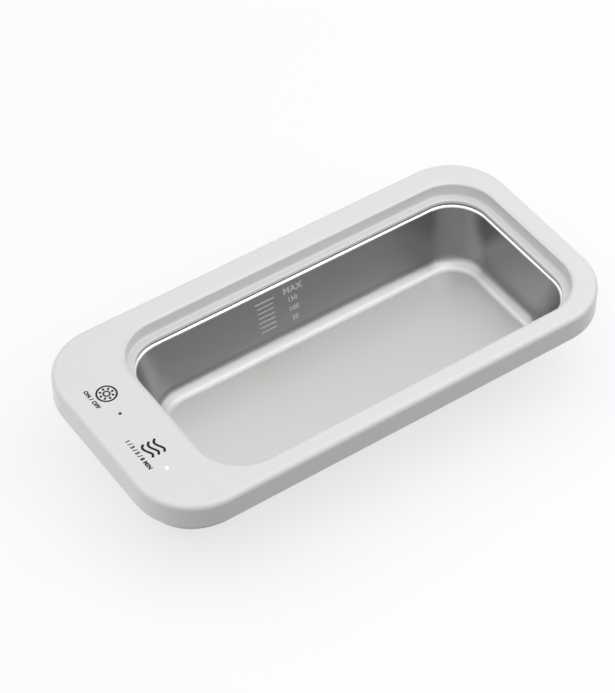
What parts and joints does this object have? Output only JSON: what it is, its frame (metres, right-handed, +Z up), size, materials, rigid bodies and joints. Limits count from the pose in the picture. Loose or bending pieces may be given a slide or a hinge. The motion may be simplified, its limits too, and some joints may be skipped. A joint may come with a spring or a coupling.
{
  "type": "ultrasonic glasses and lens cleaner",
  "caption": "Low white ultrasonic cleaner for glasses and contact lenses: an open steel tank in a rounded body, a ledge for a lid round its mouth and a touch panel at one end.",
  "frame": {"origin": "on the table, under the middle of the body's outline", "axes": "+Z up, X along the length with the touch panel at -X, Y across with the power inlet in the wall at +Y"},
  "size_m": [0.2034, 0.1, 0.045],
  "materials": {
    "white_housing": "satin white moulding",
    "white_base": "fine matt white moulding",
    "tank_steel": "satin drawn stainless steel",
    "gasket_silicone": "grey silicone",
    "clamp_plastic": "dark moulding",
    "screw_steel": "zinc-plated steel",
    "foot_rubber": "matt black",
    "plate_aluminium": "machined",
    "piezo_silver": "ceramic with a fired silver face",
    "board_green": "green solder mask",
    "ferrite": "dark sintered ferrite",
    "capacitor_can": "sleeved can",
    "capacitor_box": "moulded box",
    "sink_aluminium": "extruded",
    "transistor_black": "moulded package",
    "key_foam": "conductive foam",
    "lamp_body": "surface-mounted lamp",
    "pipe_dark": "smoked, unlit",
    "pipe_lit": "lit white",
    "ribbon": "flat cable",
    "lead_black": "insulation",
    "lead_red": "insulation",
    "inlet_plastic": "moulded",
    "inlet_metal": "nickel-plated",
    "contact_brass": "gold-plated"
  },
  "bodies": {
    "base": {"board_screws": "screw_steel", "case_screws": "screw_steel", "clamp_frame": "clamp_plastic", "clamp_screws": "screw_steel", "contact_barrel_1": "contact_brass", "contact_barrel_2": "contact_brass", "contact_board": "board_green", "contact_lead": "lead_black", "drive_inductor": "ferrite", "driver_board": "board_green", "driver_transformer": "ferrite", "film_capacitor": "capacitor_box", "filter_capacitor": "capacitor_can", "foot_1": "foot_rubber", "foot_2": "foot_rubber", "foot_3": "foot_rubber", "foot_4": "foot_rubber", "heat_sink": "sink_aluminium", "inlet_lead": "lead_black", "inlet_pin": "inlet_metal", "lamp_1": "lamp_body", "lamp_2": "lamp_body", "light_pipe_1": "pipe_dark", "light_pipe_2": "pipe_lit", "lower_housing": "white_base", "piezo_disc_1": "piezo_silver", "piezo_disc_2": "piezo_silver", "power_inlet": "inlet_plastic", "power_transistor": "transistor_black", "tank": "tank_steel", "tank_gasket": "gasket_silicone", "touch_board": "board_green", "touch_key_pad_1": "key_foam", "touch_key_pad_2": "key_foam", "touch_ribbon": "ribbon", "touch_screws": "screw_steel", "transducer_lead_1": "lead_red", "transducer_lead_2": "lead_red", "transducer_plate_1": "plate_aluminium", "transducer_plate_2": "plate_aluminium", "upper_housing": "white_housing"},
    "contact_1": {"contact_pin_1": "contact_brass"},
    "contact_2": {"contact_pin_2": "contact_brass"}
  },
  "joints": [
    {"name": "contact_1_press", "type": "slide", "parent": "base", "child": "contact_1", "axis": [1, 0, 0], "range_m": [-0.0008, 0], "stiffness_N_per_m": 400, "springref_m": 0.0005},
    {"name": "contact_2_press", "type": "slide", "parent": "base", "child": "contact_2", "axis": [1, 0, 0], "range_m": [-0.0008, 0], "stiffness_N_per_m": 400, "springref_m": 0.0005}
  ]
}
